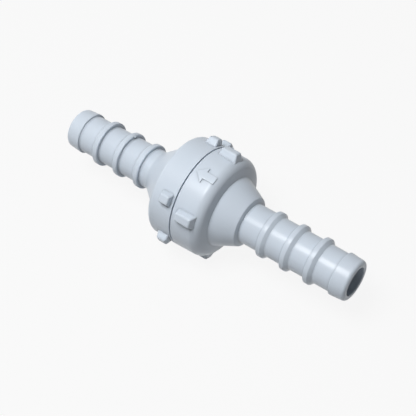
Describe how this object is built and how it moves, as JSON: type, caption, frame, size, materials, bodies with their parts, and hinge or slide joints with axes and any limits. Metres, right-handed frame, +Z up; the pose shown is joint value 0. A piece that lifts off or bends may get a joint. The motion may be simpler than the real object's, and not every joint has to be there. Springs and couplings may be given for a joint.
{
  "type": "inline non-return valve",
  "caption": "Inline non-return valve for soft hose: two screwed halves with ringed hose tails, lugs round the drum and a sprung poppet inside.",
  "frame": {"origin": "on the flow axis, midway between the mouths of the two hose tails", "axes": "+X along the flow axis towards the mouth of the inlet tail, so water flows to -X; +Z up as the valve lies on its drum"},
  "size_m": [0.1016, 0.0351, 0.0324],
  "materials": {
    "grey_plastic": "pale blue-grey moulded plastic, semi-gloss",
    "white_plastic": "off-white moulded acetal, satin",
    "seal_rubber": "black moulded rubber, matt",
    "spring_steel": "drawn stainless wire"
  },
  "bodies": {
    "inlet_half": {"inlet_body": "grey_plastic", "body_seal": "seal_rubber"},
    "outlet_half": {"outlet_body": "grey_plastic", "stem_guide": "white_plastic", "return_spring": "spring_steel"},
    "poppet_unit": {"poppet": "white_plastic", "poppet_seal": "seal_rubber"}
  },
  "joints": [
    {"name": "poppet_slide", "type": "slide", "parent": "inlet_half", "child": "poppet_unit", "axis": [-1, 0, 0], "range_m": [0, 0.0035], "stiffness_N_per_m": 100, "springref_m": -0.003, "deforming": ["return_spring"]},
    {"name": "outlet_half_off", "type": "slide", "parent": "inlet_half", "child": "outlet_half", "axis": [-1, 0, 0], "range_m": [0, 0.03]}
  ]
}
